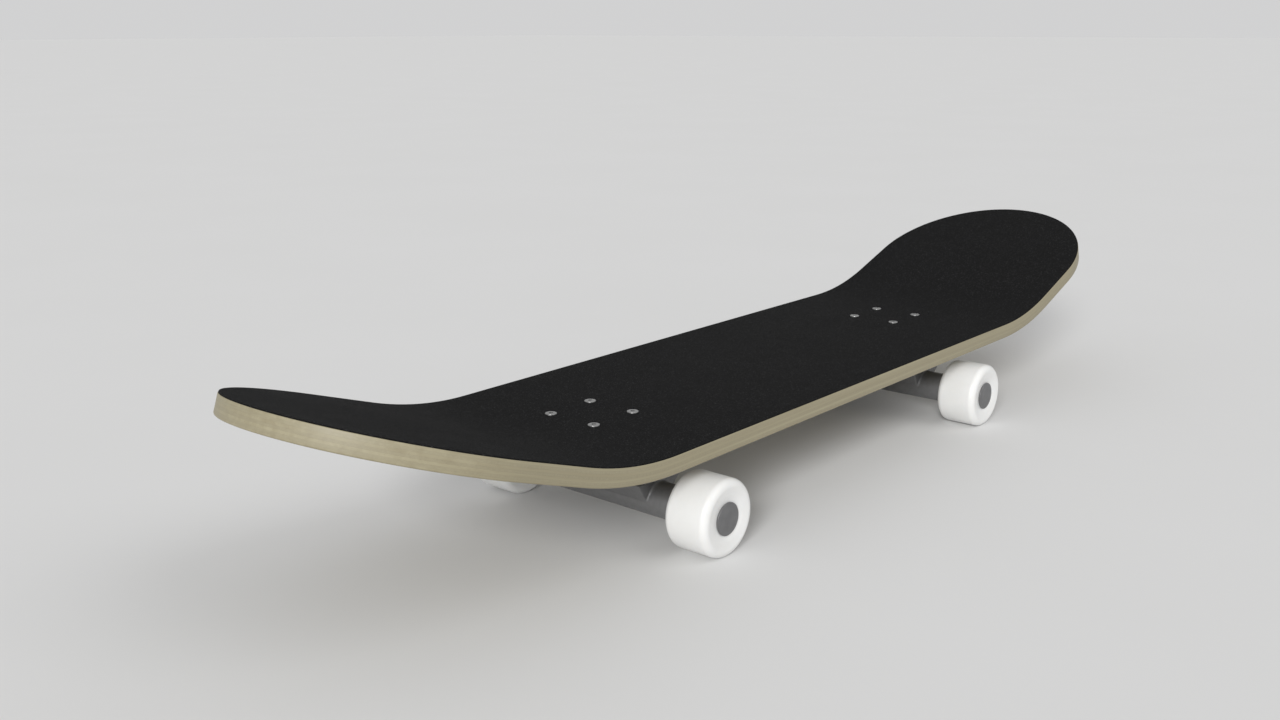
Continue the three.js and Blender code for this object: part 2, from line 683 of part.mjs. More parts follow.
function truck(end, patternX, turn) {
  const group = new THREE.Group();
  group.position.set(patternX, 0, DECK_BOTTOM);
  group.rotation.z = turn;
  const cup = axisGroup(PIVOT, STEER_OUT);
  cup.add(piece(`${end}_pivot_cup`, pivotCup(), cupPlastic));
  const axlePiece = piece(`${end}_axle`, axle(), steel);
  axlePiece.position.copy(AXLE);
  group.add(
    piece(`${end}_baseplate`, baseplate(), castAluminium),
    cup,
    kingpinStack(end),
    piece(`${end}_hanger`, hanger(), castAluminium),
    axlePiece,
    fasteners(end),
  );
  // A truck that is turned round has its own left on the board's right.
  const [same, opposite] = turn === 0 ? ['left', 'right'] : ['right', 'left'];
  group.add(wheelSet(`${end}_${same}`, 0), wheelSet(`${end}_${opposite}`, Math.PI));
  return group;
}

const skateboard = new THREE.Group();
skateboard.add(
  piece('deck', deck(), maple),
  piece('grip_tape', gripTape(), grit),
  truck('tail', TAIL_PATTERN_X, 0),
  truck('nose', NOSE_PATTERN_X, Math.PI),
);

export default skateboard;
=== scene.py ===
"""A skateboard's looks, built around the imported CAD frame. Metres, +Z up, +X towards the nose, +Y left."""

import json
import math

import bmesh
import bpy
import numpy as np
from mathutils import Matrix, Vector


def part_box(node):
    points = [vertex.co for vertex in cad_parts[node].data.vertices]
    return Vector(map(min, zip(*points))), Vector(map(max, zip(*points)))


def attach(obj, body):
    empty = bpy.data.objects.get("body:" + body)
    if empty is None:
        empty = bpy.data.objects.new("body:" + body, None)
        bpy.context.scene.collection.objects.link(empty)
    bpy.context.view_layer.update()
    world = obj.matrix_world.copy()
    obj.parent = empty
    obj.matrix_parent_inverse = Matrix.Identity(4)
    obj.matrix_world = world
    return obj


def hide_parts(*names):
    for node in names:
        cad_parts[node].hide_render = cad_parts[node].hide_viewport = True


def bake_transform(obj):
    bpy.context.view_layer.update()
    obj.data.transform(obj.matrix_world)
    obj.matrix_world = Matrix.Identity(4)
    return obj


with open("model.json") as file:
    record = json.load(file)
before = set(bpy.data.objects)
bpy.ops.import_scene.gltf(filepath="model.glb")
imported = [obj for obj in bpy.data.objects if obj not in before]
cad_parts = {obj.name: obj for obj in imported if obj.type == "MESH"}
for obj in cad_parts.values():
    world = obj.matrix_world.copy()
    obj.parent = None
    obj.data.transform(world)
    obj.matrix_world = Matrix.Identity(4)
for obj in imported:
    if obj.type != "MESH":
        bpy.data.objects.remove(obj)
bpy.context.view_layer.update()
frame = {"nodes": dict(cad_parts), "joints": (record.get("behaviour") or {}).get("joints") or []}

ENDS = ("tail", "nose")
SIDES = ("left", "right")
UP = Vector((0, 0, 1))
LEFT = Vector((0, 1, 0))
GAP = 0.0003                     # clearance between the CAD's touching pieces

# Deck, along its top surface
GRIP_THICKNESS = 0.0008
DECK_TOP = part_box("grip_tape")[0].z + GRIP_THICKNESS
DECK_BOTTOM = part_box("deck")[0].z
FLAT_HALF = 0.2411
KICK_RADIUS = 0.260
KICK_ANGLE = math.radians(19)
RAIL_HALF = 0.3793
TIP_LENGTH = 0.1185
HALF_WIDTH = 0.10325
PLIES = 7
TOP_ROUND = 0.0004               # rounding of the wood's upper edge, under the tape
BOTTOM_ROUND = 0.0012
TAPE_ROUND = 0.0002
TAPE_TRIM = 0.0003               # how far the tape stops short of the wood's edge

# Truck bolts, from the plane of the grip
HEAD_RADIUS = 0.00425
HEAD_SINK = 0.0001               # how far the top of the head's cone lies below that plane
HEAD_SIDE = 0.0009               # straight side of the head over its cone
HEAD_DOME = 0.00025
HEAD_EDGE = 0.00028              # rounding between the head's face and its side
CONE_DEPTH = 0.0021
SHANK_RADIUS = 0.0024
SOCKET_RADIUS = 0.0017           # to the corners of its hexagon
SOCKET_DEPTH = 0.0018
BOLT_POINT = 0.0006              # the thread's end narrows by this much
BOLT_THREAD = 0.0135             # length of the thread
BOLT_THREAD_DEPTH = 0.00035
BOLT_PITCH = 0.0008
HOLE_CLEARANCE = 0.00012         # between a bolt and its hole in the board
THROUGH = 0.03                   # far enough for a cutter to pass right through

# Lock nuts on the truck bolts: a hexagon above a round collar with a nylon ring in it
NUT_HEIGHT = 0.0042              # of the hexagon
NUT_CHAMFER = 0.0008
COLLAR_RADIUS = 0.0042
COLLAR_OPENING = 0.0032
COLLAR_LIP = 0.0006

# Truck, around the centre of its bolts on the deck's underside, +X towards the board's middle
BEAM_RADIUS = 0.0126
BEAM_HALF = 0.0766
AXLE_HALF = 0.1119
BODY_HALF = 0.051                # half width of the hanger's body, which stands on the beam
BODY_FOOT = 0.0123               # half its depth along the board, at the axle's height
BODY_TOP = 0.016                 # height of the body's rim over the axle's centre line
BODY_FLARE = 0.75                # how far its walls lean out for each unit of height
BODY_END_FLARE = 0.15
BODY_WALL = 0.008
BODY_END_WALL = 0.005
YOKE_HALF = 0.026                # half width of the yoke plate where it leaves the beam
YOKE_THICKNESS = 0.0088
WELL_RADIUS = 0.015              # room for the board side bushing in the hanger's body
RING_RADIUS = 0.0155
RING_HALF = 0.004
RING_HOLE = 0.008
SEAT_RADIUS = 0.0132
ARM_RADIUS = 0.007
PIN_RADIUS = 0.0052
PIN_LENGTH = 0.012
PIVOT = Vector((-0.008, 0, -0.011))
FOOT_SPREAD = 0.0015             # how much the arm and the boss widen towards their feet
AXLE_BORE = 0.00405              # bore of the hanger, the inner races and the speed washers
PLATE_THICKNESS = 0.007
PLATE_CORNER = 0.006
BOSS_RADIUS = 0.0128
BOSS_DEPTH = 0.014
HOUSING_RADIUS = 0.011
HOUSING_START = -0.005           # along the steering axis from the pivot, as HOUSING_END is
HOUSING_END = 0.009
RIB_PLACE = 0.0115               # two ribs join the housing to the boss
RIB_HALF = 0.002
RIB_FROM = -0.014
RIB_TO = 0.026
RIB_LOW = -0.0125
BOLT_HOLE_RADIUS = 0.0028
SPOT_FACE_RADIUS = 0.0066        # a flat seat for each lock nut
CUP_POCKET_RADIUS = 0.0075
CUP_POCKET_END = 0.0068
CUP_BORE = 0.0055

# Kingpin stack
KINGPIN_HOLE = 0.00505           # bore of the baseplate and the bushings
HEAD_POCKET_RADIUS = 0.0078      # to the corners of the hexagon that holds the kingpin's head
HEAD_POCKET_DEPTH = 0.0043
KINGPIN_HEAD_RADIUS = 0.0075
KINGPIN_HEAD_HEIGHT = 0.004
KINGPIN_CREST = 0.00475
KINGPIN_THREAD_DEPTH = 0.0005
KINGPIN_PITCH = 0.00106
KINGPIN_POINT = 0.0008
KINGPIN_NUT_CHAMFER = 0.0011
KINGPIN_NUT_BORE = 0.0048
WASHER_BORE = 0.0051

# Wheels: the faces sink a little towards the bearings
WHEEL_EDGE = 0.0052
OUTER_DISH = 0.0021
INNER_DISH = 0.0004
HUB_BORE_RADIUS = 0.0093         # through the wheel, between its two bearings
CAP_SIDE = 0.0009                # the cap's straight side
CAP_BEVEL = 0.0005               # its face slopes away a little towards the edge
CAP_ROUND = 0.0004
CAP_FLAT_RADIUS = 0.0088
CAP_BORE = 0.0041
CAP_NECK = 0.0073

# Bearings
RACE_WALL = 0.0016
INNER_RACE_RADIUS = 0.0060
SPEED_WASHER_RADIUS = 0.0062
SHIELD_SINK = 0.0006             # the shields sit this deep in each face
SHIELD_HALF = 0.0002


# ---------------------------------------- frame

def cad_points(node):
    vertices = frame["nodes"][node].data.vertices
    points = np.empty(3 * len(vertices), np.float32)
    vertices.foreach_get("co", points)
    return points.reshape(-1, 3).astype(float)


def middle(node):
    low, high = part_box(node)
    return (low + high) / 2


def span(node, origin, direction):
    """How far a CAD node reaches along a line, and its radius about it: low, high, radius."""
    away = cad_points(node) - np.array(origin)
    heights = away @ np.array(direction)
    radii = np.linalg.norm(away - np.outer(heights, np.array(direction)), axis=1)
    return float(heights.min()), float(heights.max()), float(radii.max())


def joint(name):
    return next(j for j in frame["joints"] if j["name"] == name)


class Truck:
    """Where one truck is in the frame: its matrix, axle, bushing ring, kingpin and steering axis."""

    def __init__(self, end):
        self.end = end
        self.body = f"{end}_truck"
        bolts = [middle(f"{end}_deck_bolt_{i}") for i in range(1, 5)]
        centre = sum(bolts, Vector()) / len(bolts)
        self.inwards = -math.copysign(1, centre.x)
        turn = Matrix.Rotation(0 if self.inwards > 0 else math.pi, 4, "Z")
        self.matrix = Matrix.Translation((centre.x, 0, DECK_BOTTOM)) @ turn
        self.axle = middle(f"{end}_axle")
        self.ring = Vector(joint(f"{end}_steer")["pos_m"])
        self.steer = Vector(joint(f"{end}_steer")["axis"])
        washers = [middle(f"{end}_{side}_side_washer") for side in ("board", "road")]
        self.kingpin = (washers[1] - washers[0]).normalized()

    def local(self, point):
        return self.matrix.inverted() @ point

    def local_direction(self, direction):
        return self.matrix.to_3x3().inverted() @ direction


# ---------------------------------------- mesh code

def made(name, vertices, faces):
    mesh = bpy.data.meshes.new(name)
    mesh.from_pydata([tuple(v) for v in vertices], [], faces)
    return from_mesh(name, mesh)


def from_mesh(name, mesh):
    obj = bpy.data.objects.new(name, mesh)
    bpy.context.scene.collection.objects.link(obj)
    return obj


def cleaned(obj, distance=1e-7):
    """Welds what meets, drops faces with no area and turns the faces outwards."""
    work = bmesh.new()
    work.from_mesh(obj.data)
    bmesh.ops.remove_doubles(work, verts=work.verts, dist=distance)
    bmesh.ops.dissolve_degenerate(work, edges=work.edges, dist=distance)
    bmesh.ops.recalc_face_normals(work, faces=work.faces)
    work.to_mesh(obj.data)
    work.free()
    return obj


def smooth(obj, angle=32):
    obj.data.shade_smooth()
    obj.data.set_sharp_from_angle(angle=math.radians(angle))
    return obj


def applied(obj):
    """Turns the object's modifiers into its mesh."""
    bpy.context.view_layer.update()
    graph = bpy.context.evaluated_depsgraph_get()
    mesh = bpy.data.meshes.new_from_object(obj.evaluated_get(graph))
    obj.modifiers.clear()
    obj.data = mesh
    mesh.name = obj.name
    return obj


def joined(name, objects):
    """One object from several; each part's material slots are kept."""
    materials = []
    work = bmesh.new()
    for obj in objects:
        start = len(work.faces)
        work.from_mesh(obj.data)
        work.faces.ensure_lookup_table()
        here = obj.data.materials[0] if obj.data.materials else None
        if here not in materials:
            materials.append(here)
        for face in list(work.faces)[start:]:
            face.material_index = materials.index(here)
    mesh = bpy.data.meshes.new(name)
    work.to_mesh(mesh)
    work.free()
    for material in materials:
        if material:
            mesh.materials.append(material)
    for obj in objects:
        bpy.data.objects.remove(obj)
    return from_mesh(name, mesh)


def cut(obj, *cutters, operation="DIFFERENCE"):
    """Cuts the cutters from an object, or joins them to it, and removes them."""
    for cutter in cutters:
        modifier = obj.modifiers.new("cut", "BOOLEAN")
        modifier.operation = operation
        modifier.solver = "EXACT"
        modifier.object = cutter
    applied(obj)
    for cutter in cutters:
        bpy.data.objects.remove(cutter)
    return obj


def rounded(points, corner_steps=5):
    """A profile with its corners rounded: each point is (radius, height) or (radius, height, rounding)."""
    result = []
    for i, point in enumerate(points):
        corner = Vector(point[:2])
        rounding = point[2] if len(point) > 2 else 0
        if rounding == 0:
            result.append(tuple(corner))
            continue
        back = (Vector(points[i - 1][:2]) - corner).normalized()
        ahead = (Vector(points[(i + 1) % len(points)][:2]) - corner).normalized()
        half = math.acos(max(-1, min(1, back.dot(ahead)))) / 2
        centre = corner + (back + ahead).normalized() * rounding / math.sin(half)
        first = (corner + back * rounding / math.tan(half) - centre).normalized()
        last = (corner + ahead * rounding / math.tan(half) - centre).normalized()
        for k in range(corner_steps + 1):
            spoke = first.slerp(last, k / corner_steps, first).normalized()
            result.append(tuple(centre + spoke * rounding))
    return result


def turned(name, profile, origin, direction, sides, shape=None):
    """A profile of (radius, height) turned about a line.

    It starts and ends on the axis, or closes on itself.
    """
    direction = Vector(direction).normalized()
    across = LEFT.cross(direction)
    across = across.normalized() if across.length > 0.1 else Vector((1, 0, 0))
    third = direction.cross(across)
    closed = profile[0][0] > 1e-7
    vertices, faces = [], []
    for radius, height in profile:
        for k in range(sides):
            angle = 2 * math.pi * k / sides
            here = shape(angle, radius, height) if shape else radius
            spoke = math.cos(angle) * across + math.sin(angle) * third
            vertices.append(Vector(origin) + direction * height + spoke * here)
    count = len(profile)
    for i in range(count if closed else count - 1):
        j = (i + 1) % count
        for k in range(sides):
            m = (k + 1) % sides
            faces.append((i * sides + k, i * sides + m, j * sides + m, j * sides + k))
    return smooth(cleaned(made(name, vertices, faces)))


def ring(name, inner, outer, low, high, origin, direction, rounding, sides):
    """A round piece with a bore and rounded corners."""
    profile = rounded([
        (inner, low, rounding), (outer, low, rounding), (outer, high, rounding), (inner, high, rounding),
    ], 3)
    return turned(name, profile, origin, direction, sides)


def rod(name, radius, low, high, origin, direction, sides=64):
    return turned(name, [(0, low), (radius, low), (radius, high), (0, high)], origin, direction, sides)


def hexagon(across_corners):
    """The radius of a six-sided piece at each angle, no more than the turned radius there."""
    apothem = across_corners * math.cos(math.pi / 6)

    def radius_at(angle, radius, height):
        side = (angle % (math.pi / 3)) - math.pi / 6
        return min(radius, apothem / math.cos(side))
    return radius_at


def thread(crest, depth, pitch, low, high):
    """A helical thread between two heights: the radius at each angle and height."""
    def radius_at(angle, radius, height):
        if radius < crest - depth or not low <= height <= high:
            return radius
        turn = (height / pitch - angle / (2 * math.pi)) % 1
        return crest - depth * (1 - abs(2 * turn - 1))
    return radius_at


def steps(low, high, spacing):
    """Evenly spaced values from low to high, about the spacing given apart."""
    count = max(1, round((high - low) / spacing))
    return [low + (high - low) * i / count for i in range(count + 1)]


def quarter_round(radius):
    """A ball's profile, from its widest point up to the axis."""
    points = [(radius * math.cos(a), radius * math.sin(a)) for a in steps(0, math.pi / 2, math.pi / 24)]
    return points[:-1] + [(0, radius)]


def slab(name, outline, low, high):
    """An outline in X and Y as a plate between two heights."""
    count = len(outline)
    vertices = [(x, y, low) for x, y in outline] + [(x, y, high) for x, y in outline]
    faces = [tuple(range(count))[::-1], tuple(range(count, 2 * count))]
    for i in range(count):
        j = (i + 1) % count
        faces.append((i, j, count + j, count + i))
    return cleaned(made(name, vertices, faces))


def box(name, low, high):
    outline = [(low[0], low[1]), (high[0], low[1]), (high[0], high[1]), (low[0], high[1])]
    return slab(name, outline, low[2], high[2])


def moved(obj, matrix):
    obj.data.transform(matrix)
    return obj


def cast(name, parts, voxel, iterations):
    """Pieces melted into one casting with soft inside and outside corners."""
    whole = joined(name, parts)
    remesh = whole.modifiers.new("melt", "REMESH")
    remesh.mode = "VOXEL"
    remesh.voxel_size = voxel
    soften = whole.modifiers.new("soften", "SMOOTH")
    soften.factor = 0.5
    soften.iterations = iterations
    return applied(whole)


# ---------------------------------------- materials

class Finish:
    """A procedural material: the shader, and short ways to add nodes to it."""

    def __init__(self, name, roughness=0.5, metallic=0.0, **sockets):
        self.material = bpy.data.materials.new(name)
        self.material.use_nodes = True
        self.tree = self.material.node_tree
        self.shader = self.tree.nodes["Principled BSDF"]
        self.shader.inputs["Roughness"].default_value = roughness
        self.shader.inputs["Metallic"].default_value = metallic
        for socket, value in sockets.items():
            self.shader.inputs[socket.replace("_", " ")].default_value = value

    def node(self, kind, links=(), **values):
        node = self.tree.nodes.new(kind)
        for key, value in values.items():
            setattr(node, key, value)
        for socket, value in dict(links).items():
            self.feed(node.inputs[socket], value)
        return node

    def feed(self, socket, value):
        if isinstance(value, bpy.types.NodeSocket):
            self.tree.links.new(value, socket)
        else:
            socket.default_value = value

    def place(self):
        return self.node("ShaderNodeTexCoord").outputs["Object"]

    def attribute(self, name):
        return self.node("ShaderNodeAttribute", attribute_name=name).outputs["Vector"]

    def stretched(self, vector, scale):
        mapping = self.node("ShaderNodeMapping", {"Vector": vector, "Scale": scale})
        return mapping.outputs["Vector"]

    def noise(self, vector, scale, detail):
        values = {"Vector": vector, "Scale": scale, "Detail": detail, "Roughness": 0.55}
        return self.node("ShaderNodeTexNoise", values).outputs["Fac"]

    def cells(self, vector, scale, output="Distance"):
        return self.node("ShaderNodeTexVoronoi", {"Vector": vector, "Scale": scale}).outputs[output]

    def maths(self, operation, a, b=0.0):
        node = self.node("ShaderNodeMath", operation=operation)
        for socket, value in zip(node.inputs, (a, b)):
            self.feed(socket, value)
        return node.outputs[0]

    def between(self, value, low, high, to_low=0.0, to_high=1.0):
        links = {"Value": value, "From Min": low, "From Max": high, "To Min": to_low, "To Max": to_high}
        return self.node("ShaderNodeMapRange", links).outputs["Result"]

    def mixed(self, share, first, second):
        node = self.node("ShaderNodeMix", data_type="RGBA")
        for socket, value in ((0, share), (6, first), (7, second)):
            self.feed(node.inputs[socket], value)
        return node.outputs[2]

    def colour(self, value):
        self.feed(self.shader.inputs["Base Color"], value)

    def rough(self, value):
        self.feed(self.shader.inputs["Roughness"], value)

    def bump(self, height, distance, strength):
        node = self.node("ShaderNodeBump", {"Height": height, "Distance": distance, "Strength": strength})
        self.feed(self.shader.inputs["Normal"], node.outputs["Normal"])


def tone(red, green, blue):
    return (red, green, blue, 1.0)


def maple():
    """Seven plies: long grain on the faces, thin glue lines and alternate grain on the edge."""
    finish = Finish("maple_plies", roughness=0.5)
    board = finish.attribute("board")
    depth = finish.node("ShaderNodeSeparateXYZ", {"Vector": board}).outputs["Z"]
    ply_thickness = (DECK_TOP - GRIP_THICKNESS - DECK_BOTTOM) / PLIES
    count = finish.maths("DIVIDE", finish.maths("SUBTRACT", depth, GRIP_THICKNESS), ply_thickness)
    index = finish.maths("FLOOR", count)
    within = finish.maths("FRACT", count)
    cross = finish.maths("PINGPONG", index, 1.0)
    streaks = finish.noise(finish.stretched(board, (6, 260, 260)), 1.0, 4)
    fleck = finish.noise(finish.stretched(board, (60, 900, 900)), 1.0, 3)
    end_grain = finish.noise(finish.stretched(board, (700, 60, 900)), 1.0, 3)
    ply_tint = finish.node("ShaderNodeTexWhiteNoise", {"W": index}, noise_dimensions="1D").outputs["Value"]
    face = finish.mixed(finish.between(streaks, 0.3, 0.7), tone(0.285, 0.25, 0.16), tone(0.345, 0.31, 0.205))
    face = finish.mixed(finish.between(fleck, 0.55, 0.8, 0, 0.25), face, tone(0.20, 0.165, 0.10))
    end = finish.mixed(finish.between(end_grain, 0.3, 0.7), tone(0.24, 0.212, 0.14), tone(0.31, 0.28, 0.19))
    wood = finish.mixed(finish.maths("MULTIPLY", cross, 0.45), face, end)
    wood = finish.mixed(finish.between(ply_tint, 0, 1, 0, 0.14), wood, tone(0.21, 0.175, 0.11))
    from_glue = finish.maths("ABSOLUTE", finish.maths("SUBTRACT", within, 0.5))
    glue = finish.between(from_glue, 0.455, 0.5, 0, 0.3)
    finish.colour(finish.mixed(glue, wood, tone(0.13, 0.10, 0.06)))
    finish.rough(finish.between(streaks, 0.2, 0.8, 0.42, 0.58))
    finish.bump(streaks, 0.0001, 0.35)
    return finish.material


def grip():
    """Black abrasive grit: packed grains of uneven height, and a few grains painted lighter as painted
    glints.
    """
    finish = Finish("grip_grit", roughness=0.88, Specular_IOR_Level=0.12)
    place = finish.place()
    grains = finish.cells(place, 1500)
    fine = finish.noise(place, 2600, 2)
    patches = finish.noise(place, 14, 4)
    # painted highlight: a few random cells take a much lighter colour, as glints of grit catching the light
    painted_glint_cells = finish.cells(place, 1500, "Color")
    bright = finish.node("ShaderNodeSeparateColor", {"Color": painted_glint_cells}).outputs["Red"]
    darkest, palest = tone(0.0045, 0.0045, 0.0046), tone(0.0075, 0.0075, 0.0077)
    base = finish.mixed(finish.between(patches, 0.3, 0.7), darkest, palest)
    grit_with_painted_glints = finish.mixed(finish.between(bright, 0.88, 1.0, 0, 0.7), base, tone(0.045, 0.045, 0.047))
    finish.colour(grit_with_painted_glints)
    finish.rough(finish.between(patches, 0.3, 0.7, 0.8, 0.95))
    height = finish.maths("ADD", grains, finish.maths("MULTIPLY", fine, 0.6))
    finish.bump(height, 0.00035, 0.7)
    return finish.material


def urethane():
    """White cast urethane, slightly translucent, with faint flow marks and a rolled-on haze."""
    finish = Finish("wheel_urethane", roughness=0.34, Specular_IOR_Level=0.5)
    finish.shader.inputs["Subsurface Weight"].default_value = 0.12
    finish.shader.inputs["Subsurface Radius"].default_value = (0.004, 0.0035, 0.003)
    place = finish.place()
    clouds = finish.noise(place, 45, 4)
    haze = finish.noise(place, 900, 3)
    creamy, white = tone(0.76, 0.76, 0.745), tone(0.81, 0.81, 0.80)
    finish.colour(finish.mixed(finish.between(clouds, 0.3, 0.7), creamy, white))
    finish.rough(finish.between(haze, 0.3, 0.7, 0.28, 0.42))
    finish.bump(haze, 0.00004, 0.4)
    return finish.material


def metal(name, dark, light, roughness, grain, depth, metallic=1.0):
    """A metal whose tone, gloss and surface vary at the scale of its grain."""
    spread = 0.08
    finish = Finish(name, metallic=metallic)
    place = finish.place()
    patches = finish.noise(place, grain / 12, 4)
    fine = finish.noise(place, grain, 3)
    finish.colour(finish.mixed(finish.between(patches, 0.3, 0.7), dark, light))
    finish.rough(finish.between(fine, 0.25, 0.75, roughness - spread, roughness + spread))
    finish.bump(fine, depth, 0.5)
    return finish.material


def moulded(name, dark, light, roughness):
    """A moulded rubber or plastic with soft mottling and a fine skin."""
    finish = Finish(name)
    place = finish.place()
    mottle = finish.noise(place, 160, 4)
    skin = finish.noise(place, 2200, 2)
    finish.colour(finish.mixed(finish.between(mottle, 0.3, 0.7), dark, light))
    finish.rough(finish.between(mottle, 0.3, 0.7, roughness - 0.06, roughness + 0.06))
    finish.bump(skin, 0.00005, 0.5)
    return finish.material


MAPLE = maple()
GRIP = grip()
URETHANE = urethane()
CAST_METAL = metal("cast_aluminium", tone(0.205, 0.205, 0.208), tone(0.235, 0.235, 0.238),
                   roughness=0.48, grain=2600, depth=0.00006, metallic=0.55)
ZINC = metal("zinc_plate", tone(0.40, 0.40, 0.395), tone(0.48, 0.48, 0.475),
             roughness=0.36, grain=1600, depth=0.00002)
BLACK_OXIDE = metal("black_oxide", tone(0.09, 0.09, 0.095), tone(0.13, 0.13, 0.135),
                    roughness=0.36, grain=1400, depth=0.00003)
CAP_METAL = metal("cap_satin", tone(0.15, 0.15, 0.153), tone(0.185, 0.185, 0.188),
                  roughness=0.42, grain=1500, depth=0.00003, metallic=0.45)
BEARING_METAL = metal("bearing_steel", tone(0.42, 0.42, 0.43), tone(0.50, 0.50, 0.51),
                      roughness=0.22, grain=1800, depth=0.00001)
BUSHING = moulded("bushing_urethane", tone(0.60, 0.56, 0.44), tone(0.68, 0.64, 0.52), 0.42)
PLASTIC = moulded("pivot_plastic", tone(0.03, 0.03, 0.03), tone(0.05, 0.05, 0.05), 0.5)
NYLON = moulded("nylon_insert", tone(0.62, 0.62, 0.58), tone(0.72, 0.72, 0.68), 0.45)


def paint(obj, material):
    obj.data.materials.clear()
    obj.data.materials.append(material)
    return obj


# ---------------------------------------- deck and grip tape

def outline_rows():
    """Rows across the board: place along the top surface, half width, and the way the edge faces."""
    half = [(s, HALF_WIDTH, 0, 1) for s in steps(0, FLAT_HALF, 0.012)[1:]]
    half += [(s, HALF_WIDTH, 0, 1) for s in steps(FLAT_HALF, RAIL_HALF, 0.005)[1:]]
    for angle in steps(0, math.pi / 2, math.pi / 2 / 48)[1:]:
        out = Vector((math.sin(angle) / TIP_LENGTH, math.cos(angle) / HALF_WIDTH)).normalized()
        half.append((RAIL_HALF + TIP_LENGTH * math.sin(angle), HALF_WIDTH * math.cos(angle), out.x, out.y))
    tail = [(-s, width, -out_s, out_y) for s, width, out_s, out_y in reversed(half)]
    return tail + [(0, HALF_WIDTH, 0, 1)] + half


def bent(s, depth):
    """A point of the flat board, bent up at the kicks. depth is below the top surface."""
    past = abs(s) - FLAT_HALF
    if past <= 0:
        return s, DECK_TOP - depth
    angle = min(past / KICK_RADIUS, KICK_ANGLE)
    straight = past - angle * KICK_RADIUS
    reach = FLAT_HALF + (KICK_RADIUS + depth) * math.sin(angle) + straight * math.cos(angle)
    rise = KICK_RADIUS - (KICK_RADIUS + depth) * math.cos(angle) + straight * math.sin(angle)
    return math.copysign(reach, s), DECK_TOP + rise


def flattened(x, z):
    """The reverse of bent: place along the top surface, and depth below it."""
    centre = DECK_TOP + KICK_RADIUS
    past = abs(x) - FLAT_HALF
    angle = math.atan2(past, centre - z)
    if past <= 0:
        return x, DECK_TOP - z
    if angle <= KICK_ANGLE:
        s = FLAT_HALF + angle * KICK_RADIUS
        return math.copysign(s, x), math.hypot(past, centre - z) - KICK_RADIUS
    along = past * math.cos(KICK_ANGLE) - (centre - z) * math.sin(KICK_ANGLE)
    down = past * math.sin(KICK_ANGLE) + (centre - z) * math.cos(KICK_ANGLE)
    return math.copysign(FLAT_HALF + KICK_ANGLE * KICK_RADIUS + along, x), down - KICK_RADIUS


def board_sheet(name, levels):
    """A closed sheet with the board's outline. levels are (depth, inset) from the top face to the bottom."""
    columns = 16
    top, bottom, between = levels[0], levels[-1], levels[1:-1]
    rows = outline_rows()
    vertices = []
    for s, width, out_s, out_y in rows:
        loop = [(top, 1 - 2 * k / columns) for k in range(columns + 1)]
        loop += [(level, -1) for level in between]
        loop += [(bottom, 2 * k / columns - 1) for k in range(columns + 1)]
        loop += [(level, 1) for level in reversed(between)]
        for (depth, inset), across in loop:
            x, z = bent(s - inset * out_s, depth)
            vertices.append((x, across * max(0, width - inset * out_y), z))
    size = len(loop)
    faces = []
    for i in range(len(rows) - 1):
        for k in range(size):
            m = (k + 1) % size
            faces.append((i * size + k, i * size + m, (i + 1) * size + m, (i + 1) * size + k))
    return cleaned(made(name, vertices, faces), 1e-6)


def bolt_cutter(name, centre):
    """The countersunk hole of one truck bolt, from above the board to below it."""
    head, shank = HEAD_RADIUS + HOLE_CLEARANCE, SHANK_RADIUS + HOLE_CLEARANCE
    above = 0.01
    profile = [(0, above), (head, above), (head, 0), (shank, -CONE_DEPTH), (shank, -THROUGH), (0, -THROUGH)]
    return turned(name, profile, (centre.x, centre.y, DECK_TOP - HEAD_SINK), UP, 48)


def drilled(obj):
    cutters = []
    for end in ENDS:
        for i in range(1, 5):
            node = f"{end}_deck_bolt_{i}"
            cutters.append(bolt_cutter(f"hole_{node}", middle(node)))
    return cut(obj, joined("bolt_holes", cutters))


def board_attribute(obj):
    """Stores where each point lies on the flat board: along, across and depth."""
    attribute = obj.data.attributes.new("board", "FLOAT_VECTOR", "POINT")
    values = []
    for vertex in obj.data.vertices:
        s, depth = flattened(vertex.co.x, vertex.co.z)
        values += (s, vertex.co.y, depth)
    attribute.data.foreach_set("vector", values)
    return obj


def arc_levels(start, end, radius, base, over_top):
    """Levels of a quarter-round edge, listed downwards."""
    levels = []
    for i in range(5):
        angle = math.pi / 2 * i / 4
        if over_top:
            levels.append((start + radius * (1 - math.cos(angle)), base + radius * (1 - math.sin(angle))))
        else:
            levels.append((end - radius * (1 - math.sin(angle)), base + radius * (1 - math.cos(angle))))
    return levels


def build_deck():
    """The pressed board, with softened edges and countersunk bolt holes."""
    bottom = DECK_TOP - DECK_BOTTOM
    top = GRIP_THICKNESS + 0.00002
    levels = arc_levels(top, bottom, TOP_ROUND, 0, True) + arc_levels(top, bottom, BOTTOM_ROUND, 0, False)
    deck = board_attribute(drilled(board_sheet("maple_deck", levels)))
    smooth(paint(deck, MAPLE), 25)
    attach(deck, "board")
    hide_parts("deck")


def build_grip():
    """The abrasive sheet over the whole top, trimmed just inside the deck's edge."""
    levels = arc_levels(0, GRIP_THICKNESS, TAPE_ROUND, TAPE_TRIM, True) + [(GRIP_THICKNESS, TAPE_TRIM)]
    tape = board_attribute(drilled(board_sheet("grip_sheet", levels)))
    smooth(paint(tape, GRIP), 25)
    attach(tape, "board")
    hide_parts("grip_tape")


# ---------------------------------------- truck bolts

